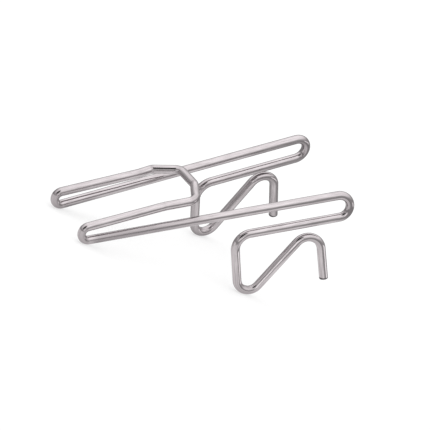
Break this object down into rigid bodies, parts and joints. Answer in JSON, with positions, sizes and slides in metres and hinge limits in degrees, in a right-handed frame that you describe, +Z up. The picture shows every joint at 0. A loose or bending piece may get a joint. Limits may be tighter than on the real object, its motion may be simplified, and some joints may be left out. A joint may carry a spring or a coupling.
{
  "type": "cornice clip",
  "caption": "Spring clip bent from a single length of bright round wire, with a central tongue, splayed rails that end in wide bends, and a hooked foot with a free tip under each rail.",
  "frame": {"origin": "on the flat surface that the clip lies on, in the middle plane of its two rails, halfway between its furthest points along X", "axes": "+X runs from the heels towards the high ends of the rails, +Y is square to the middle plane, towards the left leg, and +Z is up from the surface that the heels and toes rest on"},
  "size_m": [0.0794, 0.0414, 0.0389],
  "materials": {
    "clip_wire": "bright plated spring wire, drawn along its length"
  },
  "bodies": {
    "root": {"clip_wire": "clip_wire"}
  },
  "joints": []
}
